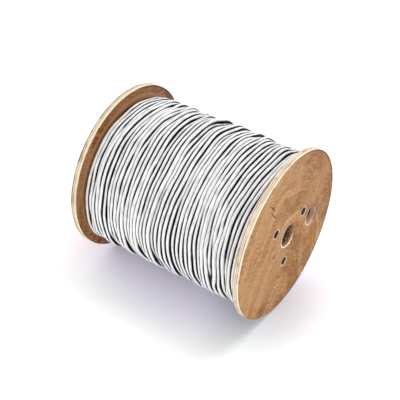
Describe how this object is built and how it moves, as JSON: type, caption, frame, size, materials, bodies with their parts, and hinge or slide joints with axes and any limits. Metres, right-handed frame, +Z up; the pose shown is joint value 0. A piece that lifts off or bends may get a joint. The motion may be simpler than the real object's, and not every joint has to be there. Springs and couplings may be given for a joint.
{
  "type": "cable drum wound with electrical cable",
  "caption": "Round plywood cable drum lying on its flange rims, wound full of white sheathed electrical cable, with a spindle bore and an off-centre drive hole.",
  "frame": {"origin": "centre of the drum, on its axis and midway between the flanges", "axes": "+X along the drum's axis towards the near flange, +Z up with the drum lying on its rims"},
  "size_m": [0.333, 0.2998, 0.2998],
  "materials": {
    "flange_plywood": "bare sanded veneer",
    "hub_ring_fibreboard": "pressed grey fibreboard",
    "barrel_cardboard": "wound dark grey-brown cardboard",
    "cable_sheath": "glossy white PVC",
    "dark_steel": "blackened steel",
    "zinc_steel": "dulled yellow zinc plate"
  },
  "bodies": {
    "root": {"flange_near": "flange_plywood", "flange_far": "flange_plywood", "hub_ring_near": "hub_ring_fibreboard", "hub_ring_far": "hub_ring_fibreboard", "barrel": "barrel_cardboard", "winding": "cable_sheath", "tie_rod_1": "dark_steel", "tie_rod_2": "dark_steel", "tie_rod_3": "dark_steel", "nut_near_1": "dark_steel", "nut_near_2": "dark_steel", "nut_near_3": "dark_steel", "nut_far_1": "dark_steel", "nut_far_2": "dark_steel", "nut_far_3": "dark_steel", "screw_near_1": "zinc_steel", "screw_near_2": "zinc_steel", "screw_near_3": "zinc_steel", "screw_far_1": "zinc_steel", "screw_far_2": "zinc_steel", "screw_far_3": "zinc_steel"}
  },
  "joints": []
}
